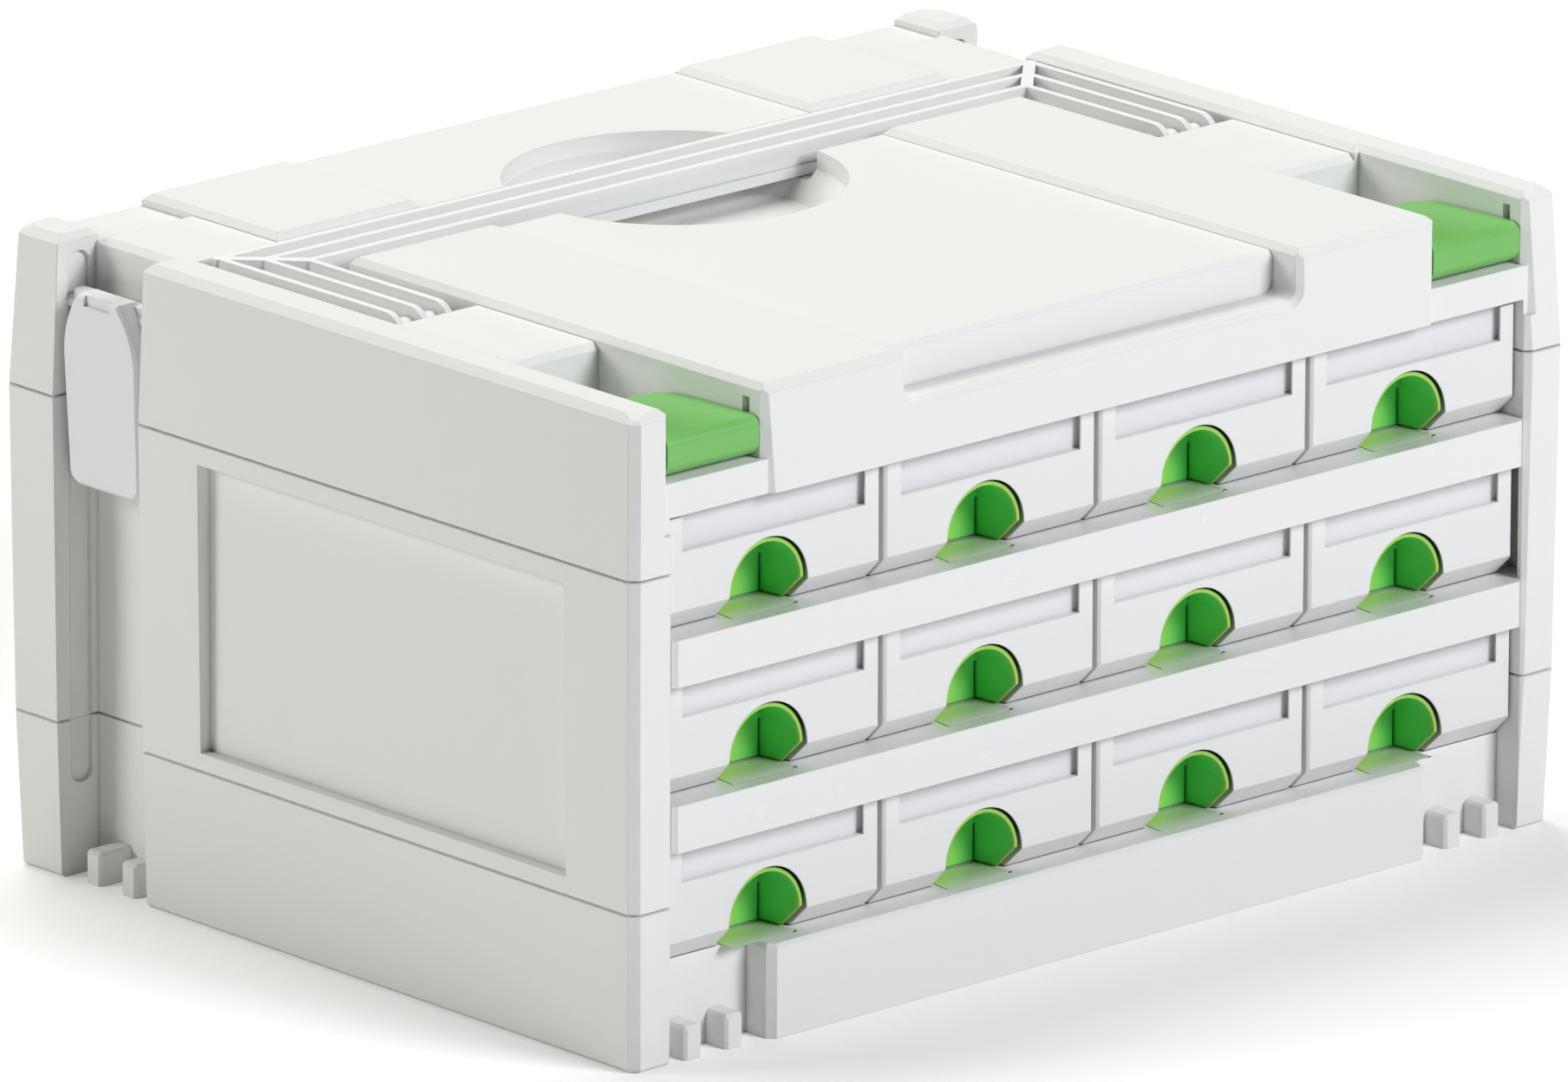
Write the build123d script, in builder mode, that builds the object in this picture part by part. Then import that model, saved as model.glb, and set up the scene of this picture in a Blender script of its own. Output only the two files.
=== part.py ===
"""Stacking drawer case: three moulded shells, three shelves, twelve drawers, a bail handle, four latches.

The case stands on its base, +Z up, origin at the middle of its bottom face, drawers facing -Y.
All lengths are in millimetres.
"""

import os
from math import sqrt

from build123d import *

# Whole case
case_width = 396.0
case_depth = 296.0
case_height = 210.0
base_height = 51.0
cover_height = 52.0
bottom_inset = 2.5
seam_inset = 1.0
top_inset = 2.5
corner_chamfer = 2.8
top_edge_chamfer = 2.8
inner_edge_chamfer = 2.2
bottom_edge_chamfer = 1.2
wall = 3.0
seam_gap = 0.8
seam_depth = 1.2
fit_clearance = 0.3
running_clearance = 0.05
overrun = 5.0

# Corner posts, the mouth between the front ones and the latch channels beside the rear ones
post_width = 17.0
post_depth = 18.0
mouth_chamfer = 2.1
post_hollow_depth = 8.0
post_lip = 1.5
rear_post_depth = 24.0
channel_width = 41.0
channel_depth = 18.0
relief_width = 9.0
relief_depth = 1.5
relief_inset = 2.5
relief_foot_height = 30.0
relief_head_drop = 6.0

# Side panels of the middle frame
panel_recess = 5.0
panel_front_margin = 32.0
panel_rear_margin = 28.0
panel_sill = 6.5

# Base tray, its bare front bar and the catch nubs
deck_height = 30.5
name_bar_half_width = 140.5
name_bar_chamfer = 3.2
name_bar_setback = 0.6
name_bar_top_chamfer = 1.2
recess_depth = 12.0
nub_width = 7.4
nub_spacing = 16.9
nub_height = 11.0
nub_reach = 9.3
nub_chamfer = 1.1
nub_inset = 19.0
side_nub_reach = 13.0
floor_rib_width = 2.5

# Shelves and the grid of drawers
columns = 4
rows = 3
shelf_thickness = 3.0
fascia_height = 15.2
fascia_thickness = 5.5
fascia_setback = 0.5
fascia_end_chamfer = 1.5
cleat_height = 4.0
cleat_width = 6.0
guide_width = 6.0
guide_height = 8.0
guide_setback = 2.0
top_row_gap = 1.4
drawer_headroom = 0.3

# Drawer trays
drawer_gap = 2.0
drawer_setback = 5.0
drawer_edge_chamfer = 0.9
drawer_chamfer = 7.5
drawer_front_thickness = 5.0
drawer_wall = 2.0
drawer_box_inset = 4.0
drawer_rear_gap = 4.0

# Label slot and card
label_share = 0.3
label_margin = 6.5
label_depth = 3.2
label_lip = 0.6
label_undercut = 2.4
card_thickness = 0.5

# Finger cup in each drawer front
cup_radius_share = 0.379
cup_rise_share = 0.208
cup_back_share = 0.866
cup_offset = -2.1
cup_gap = 0.7
cup_foot_gap = 0.6
cup_depth = 17.5
cup_wall = 1.3
cup_setback = 1.3
cup_tab_reach = 1.9
cup_tab_thickness = 1.5
cup_tab_height = 3.0
cup_slit_width = 0.8

# Top of the cover
rail_width = 18.8
skirt_height = 34.6
skirt_wall = 3.5
handle_slot_width = 36.7
panel_half_width = 83.0
channel_drop = 2.6
panel_drop = 2.4
rear_step_drop = 1.8
rear_step_depth = 3.0
platform_depth = 67.3
notch_depth = 14.5
notch_drop = 16.0
notch_corner_radius = 4.0
notch_edge_chamfer = 2.0
panel_edge_chamfer = 1.5
roof = 3.5

# Carry handle
handle_clearance = 0.5
handle_gap = 4.7
handle_front_gap = 5.3
handle_band = 24.3
handle_reach = 81.5
handle_drop = 0.5
handle_plate = 3.5
handle_depth = 11.0
handle_end_radius = 8.0
handle_hub_radius = 4.5
handle_pin_radius = 2.5
handle_pin_length = 5.0
rib_count = 3
rib_width = 2.5
rib_pitch = 10.0
rib_first = 0.8
web_width = 4.0
well_radius = 55.0
well_forward = 10.85
well_depth = 15.0
well_corner = 9.0

# Front latches and their pockets
pocket_depth = 78.0
pocket_drop = 23.5
pocket_flare = 4.4
ledge_setback = 2.5
latch_side_gap = 0.5
latch_front_setback = 4.0
latch_nose_half = 6.5
latch_nose_top_radius = 3.5
latch_nose_foot_radius = 5.0
latch_floor_gap = 0.9
latch_length = 44.5
latch_plate = 5.0
latch_crown = 1.5
latch_corner_radius = 9.0
latch_catch_width = 3.0
latch_catch_drop = 3.0
latch_catch_setback = 9.0
latch_pin_radius = 1.9
latch_pin_length = 2.5
groove_width = 3.0
groove_depth = 2.0
groove_head_drop = 5.0

# Side latches
side_pivot_drop = 21.5
side_pivot_inset = 8.0
side_latch_head = 4.7
side_latch_tail = 57.5
side_plate_width = 36.4
side_plate = 4.0
side_plate_offset = 3.0
side_pad_width = 35.0
side_pad_head_width = 19.0
side_pad_foot_width = 33.6
side_pad_thickness = 6.4
side_pad_head_rise = 1.0
side_pad_lean = 2.9
side_pad_bulge = 2.0
side_pad_shoulder_drop = 23.5
side_pad_corner_radius = 5.0
side_pad_edge = 1.0
side_notch_width = 12.4
side_notch_height = 3.3
side_notch_depth = 1.2
side_pin_radius = 2.0
side_pin_length = 3.0
side_lug_drop = 16.0
side_lug_height = 3.0

# Places worked out from the sizes above
half_width = case_width / 2
half_depth = case_depth / 2
upper_seam = case_height - cover_height
mouth_half = half_width - post_width
post_back = post_depth - half_depth
channel_wall = half_width - channel_depth
channel_rear = half_depth - rear_post_depth
channel_front = channel_rear - channel_width
channel_middle = (channel_front + channel_rear) / 2
inner_half = half_width - seam_inset - panel_recess - wall
inner_rear = half_depth - bottom_inset - wall
narrow_half = channel_wall - wall
narrow_start = channel_front - wall
skirt_bottom = case_height - skirt_height
column_pitch = 2 * mouth_half / columns
fascia_room = (rows - 1) * (fascia_height + drawer_headroom)
drawer_height = (skirt_bottom - deck_height - top_row_gap - fascia_room) / rows
row_pitch = drawer_height + drawer_headroom + fascia_height
label_height = label_share * drawer_height
cup_radius = cup_radius_share * drawer_height
cup_rise = cup_rise_share * drawer_height
cup_back_half_width = cup_back_share * cup_radius
drawer_face = drawer_setback - half_depth
drawer_width = column_pitch - drawer_gap
box_width = drawer_width - 2 * drawer_box_inset
box_rear = inner_rear - drawer_rear_gap
recess_wall = recess_depth - half_depth
deck_front = recess_wall + wall
name_bar_face = name_bar_setback - half_depth
nub_middle = mouth_half - nub_inset
channel_top = case_height - channel_drop
panel_top = case_height - panel_drop
notch_back = notch_depth - half_depth
notch_floor = case_height - notch_drop
rail_edge = half_width - rail_width
platform_half_width = rail_edge - handle_slot_width
slot_rear = half_depth - platform_depth
handle_half = rail_edge - handle_gap
handle_rear = slot_rear - handle_gap
handle_front = handle_rear - handle_band
handle_top = case_height - handle_drop
handle_bottom = handle_top - handle_depth
handle_pivot_y = handle_rear - handle_reach
handle_pivot_z = handle_top - handle_end_radius
handle_end = handle_pivot_y - handle_end_radius
well_middle = handle_rear - handle_band / 2 - well_forward
pocket_inner = platform_half_width
pocket_width = mouth_half - pocket_inner
pocket_back = pocket_depth - half_depth
pocket_floor = case_height - pocket_drop
front_latch_x = (mouth_half + pocket_inner) / 2
front_latch_half = pocket_width / 2 - latch_side_gap
front_pivot_y = latch_front_setback + latch_nose_half - half_depth
front_pivot_z = pocket_floor + latch_floor_gap + latch_nose_half
side_pivot_x = half_width - side_pivot_inset
side_pivot_z = case_height - side_pivot_drop
side_plate_back = side_pivot_x - side_plate_offset


def shelf_top(row):
    """Height of the surface that the drawers of a row run on, row 1 at the top."""
    return deck_height + (rows - row) * row_pitch


def column_middle(column):
    """Middle of a drawer column, column 1 at the left."""
    return (column - (columns + 1) / 2) * column_pitch


def block(x_low, x_high, y_low, y_high, z_low, z_high, mode=Mode.ADD):
    """Adds or cuts the straight block between two corners."""
    with BuildSketch(Plane.XY.offset(z_low)) as footprint:
        with Locations(((x_low + x_high) / 2, (y_low + y_high) / 2)):
            Rectangle(x_high - x_low, y_high - y_low)
    extrude(footprint.sketch, amount=z_high - z_low, mode=mode)


def paired_blocks(x_low, x_high, y_low, y_high, z_low, z_high, mode=Mode.ADD):
    """The same block on the left and on the right of the case."""
    block(x_low, x_high, y_low, y_high, z_low, z_high, mode)
    block(-x_high, -x_low, y_low, y_high, z_low, z_high, mode)


def paired_plan(points, z_low, z_high, mode=Mode.ADD):
    """A straight-sided plan on the right of the case, with its mirror image on the left."""
    with BuildSketch(Plane.XY.offset(z_low)) as plan:
        with BuildLine():
            Polyline(*points, close=True)
        make_face()
        mirror(about=Plane.YZ)
    extrude(plan.sketch, amount=z_high - z_low, mode=mode)


def paired_rods_along_x(x_low, x_high, y, z, radius, mode=Mode.ADD):
    """Round rods along X on both sides of the case."""
    for start in (x_low, -x_high):
        with BuildSketch(Plane.YZ.offset(start)) as section:
            with Locations((y, z)):
                Circle(radius)
        extrude(section.sketch, amount=x_high - x_low, mode=mode)


def outer_plan(height, inset):
    """Outline of the case at a height, with its cut corners."""
    with BuildSketch(Plane.XY.offset(height)) as plan:
        Rectangle(case_width - 2 * inset, case_depth - 2 * inset)
        chamfer(plan.vertices(), length=corner_chamfer)
    return plan.sketch


def inside_plan(height, gap, front):
    """Plan of the space between the case walls, narrower beside the latch channels."""
    with BuildSketch(Plane.XY.offset(height)) as plan:
        with Locations((0, front)):
            Rectangle(2 * (mouth_half - gap), -front, align=(Align.CENTER, Align.MIN))
        with Locations((0, post_back + gap)):
            Rectangle(
                2 * (inner_half - gap),
                narrow_start - post_back - 2 * gap,
                align=(Align.CENTER, Align.MIN),
            )
        Rectangle(2 * (narrow_half - gap), inner_rear - gap, align=(Align.CENTER, Align.MIN))
    return plan.sketch


def cut_mouth(low, high):
    """Opens the front between the posts, with a chamfer down each post's inner edge."""
    paired_plan(
        [
            (0, post_back + fit_clearance),
            (mouth_half, post_back + fit_clearance),
            (mouth_half, mouth_chamfer - half_depth),
            (mouth_half + mouth_chamfer + overrun, -half_depth - overrun),
            (0, -half_depth - overrun),
        ],
        low,
        high,
        Mode.SUBTRACT,
    )


def cut_side_channels(low, high):
    """Cuts the channel of each side latch, with the trunnion reliefs in both of its walls."""
    paired_blocks(
        channel_wall, half_width + overrun, channel_front, channel_rear, low, high, Mode.SUBTRACT
    )
    with BuildSketch(Plane.XZ.offset(relief_depth - channel_front)) as relief:
        with Locations((channel_wall + relief_inset, relief_foot_height)):
            Rectangle(
                relief_width,
                case_height - relief_head_drop - relief_foot_height,
                align=(Align.MIN, Align.MIN),
            )
        fillet(relief.vertices(), radius=relief_width / 2 - fit_clearance)
        mirror(about=Plane.YZ)
    extrude(relief.sketch, amount=-channel_width - 2 * relief_depth, mode=Mode.SUBTRACT)


def cut_seam(height):
    """Cuts the shadow line round the foot of a shell, also round the latch channels and the posts."""
    with BuildSketch(Plane.XY.offset(height)) as core:
        Rectangle(case_width - 2 * seam_inset, case_depth - 2 * seam_inset)
        chamfer(core.vertices(), length=corner_chamfer)
        with Locations((half_width, channel_middle), (-half_width, channel_middle)):
            Rectangle(2 * channel_depth, channel_width, mode=Mode.SUBTRACT)
        with Locations((0, -half_depth)):
            Rectangle(2 * mouth_half, 2 * post_depth, mode=Mode.SUBTRACT)
        offset(amount=-seam_depth, kind=Kind.INTERSECTION, mode=Mode.REPLACE)
    with BuildSketch(Plane.XY.offset(height)) as line:
        Rectangle(case_width + overrun, case_depth + overrun)
        add(core.sketch, mode=Mode.SUBTRACT)
    extrude(line.sketch, amount=seam_gap, mode=Mode.SUBTRACT)


def make_nub(reach):
    """Catch nub that stands out of a wall towards -Y, with its free edges cut back."""
    with BuildPart() as nub:
        block(-nub_width / 2, nub_width / 2, -reach, wall / 2, 0, nub_height)
        free_edges = nub.edges().filter_by(lambda edge: edge.center().Y < 0 and edge.center().Z > 0)
        chamfer(free_edges, length=nub_chamfer)
    return nub.part


def make_base():
    """Base tray: flat floor, ribs under the floor shelf, bare front bar and catch nubs."""
    with BuildPart() as base:
        loft([outer_plan(0, bottom_inset).face(), outer_plan(base_height, seam_inset).face()], ruled=True)
        chamfer(base.faces().sort_by(Axis.Z)[0].edges(), length=bottom_edge_chamfer)
        block(-name_bar_half_width, name_bar_half_width, name_bar_face, recess_wall, 0, deck_height)
        extrude(inside_plan(wall, 0, deck_front), amount=base_height, mode=Mode.SUBTRACT)
        cut_mouth(deck_height, base_height + overrun)
        cut_side_channels(-overrun, base_height + overrun)
        paired_plan(
            [
                (name_bar_half_width, recess_wall),
                (mouth_half, recess_wall),
                (mouth_half, mouth_chamfer - half_depth),
                (mouth_half + mouth_chamfer + overrun, -half_depth - overrun),
                (name_bar_half_width - name_bar_chamfer - overrun, -half_depth - overrun),
                (name_bar_half_width, name_bar_chamfer - half_depth),
            ],
            -overrun,
            deck_height + overrun,
            Mode.SUBTRACT,
        )
        hollow_half = name_bar_half_width - name_bar_chamfer - wall
        block(
            -hollow_half,
            hollow_half,
            name_bar_face + wall,
            deck_front + overrun,
            wall,
            deck_height - shelf_thickness,
            Mode.SUBTRACT,
        )
        bar_edges = base.edges().filter_by_position(
            Axis.Z, deck_height - fit_clearance, deck_height + fit_clearance
        )
        chamfer(
            bar_edges.filter_by(
                lambda edge: edge.center().Y < recess_wall - fit_clearance
                and abs(edge.center().X) < name_bar_half_width + fit_clearance
            ),
            length=name_bar_top_chamfer,
        )
        for column in range(1, columns):
            rib = column * column_pitch - mouth_half
            block(
                rib - floor_rib_width / 2,
                rib + floor_rib_width / 2,
                deck_front - wall / 2,
                inner_rear + wall / 2,
                wall / 2,
                deck_height - shelf_thickness,
            )
        front_nub = make_nub(nub_reach)
        side_nub = make_nub(side_nub_reach)
        for side in (-1, 1):
            for place in (nub_middle - nub_spacing / 2, nub_middle + nub_spacing / 2):
                add(front_nub.moved(Location((side * place, recess_wall, 0))))
            for place in (channel_middle - nub_spacing / 2, channel_middle + nub_spacing / 2):
                add(side_nub.moved(Location((side * channel_wall, place, 0), (0, 0, side * 90))))
    return base.part


def make_middle():
    """Middle frame: side and back walls with recessed panels and the cleats that carry the shelves."""
    with BuildPart() as middle:
        loft([outer_plan(base_height, seam_inset).face(), outer_plan(upper_seam, 0).face()], ruled=True)
        extrude(inside_plan(base_height, 0, -half_depth - overrun), amount=case_height, mode=Mode.SUBTRACT)
        cut_mouth(base_height, upper_seam + overrun)
        cut_side_channels(base_height - overrun, upper_seam + overrun)
        paired_blocks(
            half_width - panel_recess,
            half_width + overrun,
            panel_front_margin - half_depth,
            channel_front - panel_rear_margin,
            base_height + panel_sill,
            upper_seam - panel_sill,
            Mode.SUBTRACT,
        )
        paired_blocks(
            mouth_half - overrun,
            mouth_half + post_hollow_depth,
            mouth_chamfer + post_lip - half_depth,
            post_back - wall,
            shelf_top(2),
            shelf_top(1) - fascia_height,
            Mode.SUBTRACT,
        )
        cut_seam(base_height)
        for row in range(1, rows):
            seat = shelf_top(row) - shelf_thickness
            paired_blocks(
                inner_half - cleat_width,
                inner_half + wall / 2,
                post_back,
                narrow_start,
                seat - cleat_height,
                seat,
            )
            block(
                -narrow_half,
                narrow_half,
                inner_rear - cleat_width,
                inner_rear + wall / 2,
                seat - cleat_height,
                seat,
            )
    return middle.part


def cut_pockets():
    """Cuts the two front latch pockets, the set-back ledges below them and their trunnion grooves."""
    flared_front = [
        (mouth_half, pocket_flare - half_depth),
        (mouth_half + pocket_flare + overrun, -half_depth - overrun),
        (pocket_inner - pocket_flare - overrun, -half_depth - overrun),
        (pocket_inner, pocket_flare - half_depth),
    ]
    paired_plan(
        [(pocket_inner, pocket_back), (mouth_half, pocket_back)] + flared_front,
        pocket_floor,
        case_height + overrun,
        Mode.SUBTRACT,
    )
    ledge_face = ledge_setback - half_depth
    ledge_flare = pocket_flare - ledge_setback
    paired_plan(
        [
            (pocket_inner - ledge_flare, ledge_face),
            (mouth_half + ledge_flare, ledge_face),
            (mouth_half + pocket_flare + overrun, -half_depth - overrun),
            (pocket_inner - pocket_flare - overrun, -half_depth - overrun),
        ],
        skirt_bottom - overrun,
        pocket_floor + overrun,
        Mode.SUBTRACT,
    )
    paired_blocks(
        pocket_inner - groove_depth,
        mouth_half + groove_depth,
        front_pivot_y - groove_width / 2,
        front_pivot_y + groove_width / 2,
        front_pivot_z,
        case_height - groove_head_drop,
        Mode.SUBTRACT,
    )
    paired_rods_along_x(
        pocket_inner - latch_pin_length - fit_clearance,
        mouth_half + latch_pin_length + fit_clearance,
        front_pivot_y,
        front_pivot_z,
        latch_pin_radius + running_clearance,
        Mode.SUBTRACT,
    )


def cut_handle_slot():
    """Cuts the U-shaped slot of the handle, its pivots and the finger well under the grip."""
    slot_floor = handle_bottom - handle_clearance
    slot_end = handle_end - handle_clearance
    above = case_height + overrun
    block(
        -rail_edge, rail_edge, handle_front - handle_front_gap, slot_rear, slot_floor, above, Mode.SUBTRACT
    )
    paired_blocks(platform_half_width, rail_edge, slot_end, slot_rear, slot_floor, above, Mode.SUBTRACT)
    paired_blocks(
        platform_half_width,
        rail_edge,
        slot_end,
        handle_pivot_y + handle_end_radius + handle_clearance,
        handle_pivot_z - handle_end_radius - handle_clearance,
        above,
        Mode.SUBTRACT,
    )
    paired_rods_along_x(
        handle_half,
        rail_edge + handle_pin_length,
        handle_pivot_y,
        handle_pivot_z,
        handle_pin_radius + running_clearance,
        Mode.SUBTRACT,
    )
    well_floor = panel_top - well_depth
    with BuildSketch(Plane.XZ.offset(-well_middle)) as well:
        with BuildLine():
            Polyline(
                (well_radius - well_corner, well_floor),
                (0, well_floor),
                (0, above),
                (well_radius, above),
                (well_radius, well_floor + well_corner),
                close=True,
            )
        make_face()
    revolve(well.sketch, axis=Axis((0, well_middle, 0), (0, 0, 1)), mode=Mode.SUBTRACT)


def make_cover():
    """Top cover: roof with stacking platforms, latch pockets, handle slot and a front skirt."""
    above = case_height + overrun
    with BuildPart() as cover:
        loft([outer_plan(upper_seam, 0).face(), outer_plan(case_height, top_inset).face()], ruled=True)
        chamfer(cover.faces().sort_by(Axis.Z)[-1].edges(), length=top_edge_chamfer)
        hollow_top = pocket_floor - wall
        extrude(
            inside_plan(upper_seam, 0, skirt_wall - half_depth),
            amount=hollow_top - upper_seam,
            mode=Mode.SUBTRACT,
        )
        roof_half = pocket_inner - latch_pin_length - wall
        block(
            -roof_half,
            roof_half,
            notch_back + wall,
            well_middle - well_radius - wall,
            hollow_top - wall,
            panel_top - roof,
            Mode.SUBTRACT,
        )
        cut_mouth(upper_seam - overrun, skirt_bottom)
        cut_side_channels(upper_seam - overrun, above)
        paired_blocks(
            platform_half_width,
            rail_edge,
            -half_depth - overrun,
            half_depth + overrun,
            channel_top,
            above,
            Mode.SUBTRACT,
        )
        paired_blocks(
            rail_edge - wall, half_width + overrun, channel_front, channel_rear, channel_top, above,
            Mode.SUBTRACT
        )
        block(
            -panel_half_width,
            panel_half_width,
            -half_depth - overrun,
            half_depth + overrun,
            panel_top,
            above,
            Mode.SUBTRACT,
        )
        paired_blocks(
            platform_half_width,
            rail_edge,
            channel_rear - rear_step_depth,
            half_depth + overrun,
            channel_top - rear_step_drop,
            above,
            Mode.SUBTRACT,
        )
        with BuildSketch(Plane.XZ.offset(half_depth + overrun)) as notch:
            with Locations((0, notch_floor)):
                Rectangle(2 * panel_half_width, notch_drop + overrun, align=(Align.CENTER, Align.MIN))
            fillet(notch.vertices().group_by(Axis.Y)[0], radius=notch_corner_radius)
        extrude(notch.sketch, amount=-notch_depth - overrun, mode=Mode.SUBTRACT)
        notch_edges = cover.edges().filter_by(
            lambda edge: edge.center().Y < top_inset + fit_clearance - half_depth
            and abs(edge.center().X) < panel_half_width + fit_clearance
            and notch_floor - fit_clearance < edge.center().Z < case_height - top_edge_chamfer
        )
        chamfer(notch_edges, length=notch_edge_chamfer)
        panel_edge = cover.edges().filter_by(Axis.X).filter_by_position(
            Axis.Z, panel_top - fit_clearance, panel_top + fit_clearance
        )
        chamfer(panel_edge.sort_by(Axis.Y)[0], length=panel_edge_chamfer)
        cut_pockets()
        cut_handle_slot()
        with BuildSketch(Plane.XZ.offset(side_pin_length + fit_clearance - channel_front)) as trunnion_hole:
            with Locations((side_pivot_x, side_pivot_z), (-side_pivot_x, side_pivot_z)):
                Circle(side_pin_radius + running_clearance)
        extrude(
            trunnion_hole.sketch,
            amount=-channel_width - 2 * (side_pin_length + fit_clearance),
            mode=Mode.SUBTRACT,
        )
        cut_seam(upper_seam)
        rim = half_width - top_inset - top_edge_chamfer - fit_clearance
        rim_y = half_depth - top_inset - top_edge_chamfer - fit_clearance
        top_edges = cover.edges().filter_by_position(
            Axis.Z, case_height - running_clearance, case_height + running_clearance
        )
        inner_edges = top_edges.filter_by(
            lambda edge: abs(edge.center().X) < rim and abs(edge.center().Y) < rim_y
        )
        chamfer(inner_edges, length=inner_edge_chamfer)
        pad_edges = cover.edges().filter_by_position(
            Axis.Z, channel_top - running_clearance, channel_top + running_clearance
        )
        pocket_edges = pad_edges.filter_by(Axis.X).filter_by_position(
            Axis.Y, pocket_back - running_clearance, pocket_back + running_clearance
        )
        channel_edges = pad_edges.filter_by(Axis.Y).filter_by(
            lambda edge: abs(abs(edge.center().X) - channel_wall) < running_clearance
        )
        chamfer(pocket_edges + channel_edges, length=inner_edge_chamfer)
    return cover.part


def make_shelf(top, fascia):
    """Shelf plate with guides between the drawer columns, and a front fascia bar where it has one."""
    front = fascia_setback - half_depth if fascia else deck_front + fit_clearance
    with BuildPart() as shelf:
        extrude(inside_plan(top - shelf_thickness, fit_clearance, front), amount=shelf_thickness)
        if fascia:
            bar_half = mouth_half - fit_clearance
            paired_plan(
                [
                    (0, front),
                    (bar_half - fascia_end_chamfer, front),
                    (bar_half, front + fascia_end_chamfer),
                    (bar_half, front + fascia_thickness),
                    (0, front + fascia_thickness),
                ],
                top - fascia_height,
                top,
            )
            paired_plan(
                [
                    (bar_half - fascia_end_chamfer, front),
                    (bar_half + overrun, front),
                    (bar_half + overrun, front + fascia_end_chamfer),
                    (bar_half, front + fascia_end_chamfer),
                ],
                top - fascia_height,
                top,
                Mode.SUBTRACT,
            )
        for column in range(1, columns):
            guide = column * column_pitch - mouth_half
            block(
                guide - guide_width / 2,
                guide + guide_width / 2,
                drawer_face + drawer_chamfer + drawer_front_thickness + guide_setback,
                box_rear,
                top - shelf_thickness / 2,
                top + guide_height,
            )
    return shelf.part


def arch(radius, low):
    """Arch over a cup's middle line: half circle on legs that run down past the drawer's bottom."""
    with BuildLine() as outline:
        Polyline((radius, cup_rise), (radius, low), (-radius, low), (-radius, cup_rise))
        RadiusArc((-radius, cup_rise), (radius, cup_rise), radius)
    make_face(outline.edges())


def cup_solid(grow, low):
    """Space of a finger cup, grown by a wall: an arch from the front, cut to a taper in plan."""
    back = drawer_face + cup_depth + grow
    mouth_half_width = cup_radius + grow
    back_half_width = cup_back_half_width + grow
    with BuildPart() as cup:
        with BuildSketch(Plane.XZ.offset(-drawer_face + overrun)) as front_view:
            arch(cup_radius + grow, low)
        extrude(front_view.sketch, amount=-cup_depth - grow - overrun)
        taper = (mouth_half_width - back_half_width) / cup_depth
        with BuildSketch(Plane.XY.offset(low - overrun)) as plan:
            with BuildLine():
                Polyline(
                    (mouth_half_width + taper * overrun, drawer_face - overrun),
                    (back_half_width, back),
                    (-back_half_width, back),
                    (-mouth_half_width - taper * overrun, drawer_face - overrun),
                    close=True,
                )
            make_face()
        extrude(plan.sketch, amount=drawer_height + 2 * overrun, mode=Mode.INTERSECT)
    return cup.part


def front_profile(setback, low):
    """Side view of everything that lies behind the drawer face by a setback, with its cut-back foot."""
    face = drawer_face + setback
    reach = box_rear
    shift = setback * sqrt(2)
    with BuildLine() as outline:
        Polyline(
            (face, drawer_height + overrun),
            (face, drawer_chamfer + shift - setback),
            (face - setback + drawer_chamfer + shift - low, low),
            (reach, low),
            (reach, drawer_height + overrun),
            close=True,
        )
    make_face(outline.edges())


def make_drawer():
    """Drawer tray at the middle of the case on height 0: front, box, label slot and cup hole."""
    hole = cup_solid(cup_wall + cup_gap, -overrun).moved(Location((cup_offset, 0, 0)))
    with BuildPart() as drawer:
        with BuildSketch(Plane.YZ) as front_section:
            front_profile(0, 0)
            with Locations((drawer_face + drawer_chamfer + drawer_front_thickness, -overrun)):
                Rectangle(case_depth, case_height, align=(Align.MIN, Align.MIN), mode=Mode.SUBTRACT)
            with Locations((0, drawer_height)):
                Rectangle(case_depth, overrun, align=(Align.CENTER, Align.MIN), mode=Mode.SUBTRACT)
        extrude(front_section.sketch, amount=drawer_width / 2, both=True)
        upright_edges = drawer.edges().filter_by(Axis.Z).filter_by_position(
            Axis.Y, drawer_face - running_clearance, drawer_face + running_clearance
        )
        chamfer(upright_edges, length=drawer_edge_chamfer)
        with BuildSketch(Plane.YZ) as box_section:
            front_profile(0, 0)
            with Locations((0, drawer_height)):
                Rectangle(case_depth, overrun, align=(Align.CENTER, Align.MIN), mode=Mode.SUBTRACT)
        extrude(box_section.sketch, amount=box_width / 2, both=True)
        with BuildSketch(Plane.YZ) as inside:
            front_profile(drawer_front_thickness, drawer_wall)
            with Locations((box_rear - drawer_wall, 0)):
                Rectangle(case_depth, case_height, align=(Align.MIN, Align.CENTER), mode=Mode.SUBTRACT)
        extrude(inside.sketch, amount=box_width / 2 - drawer_wall, both=True, mode=Mode.SUBTRACT)
        slot_half = drawer_width / 2 - label_margin
        slot_low = drawer_height - label_height
        label_back = drawer_face + label_depth
        block(
            -slot_half, slot_half, drawer_face - overrun, label_back, slot_low, drawer_height + overrun,
            Mode.SUBTRACT
        )
        block(
            -slot_half - label_undercut,
            slot_half + label_undercut,
            drawer_face + label_lip,
            label_back,
            slot_low,
            drawer_height + overrun,
            Mode.SUBTRACT,
        )
        add(hole, mode=Mode.SUBTRACT)
    return drawer.part


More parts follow.
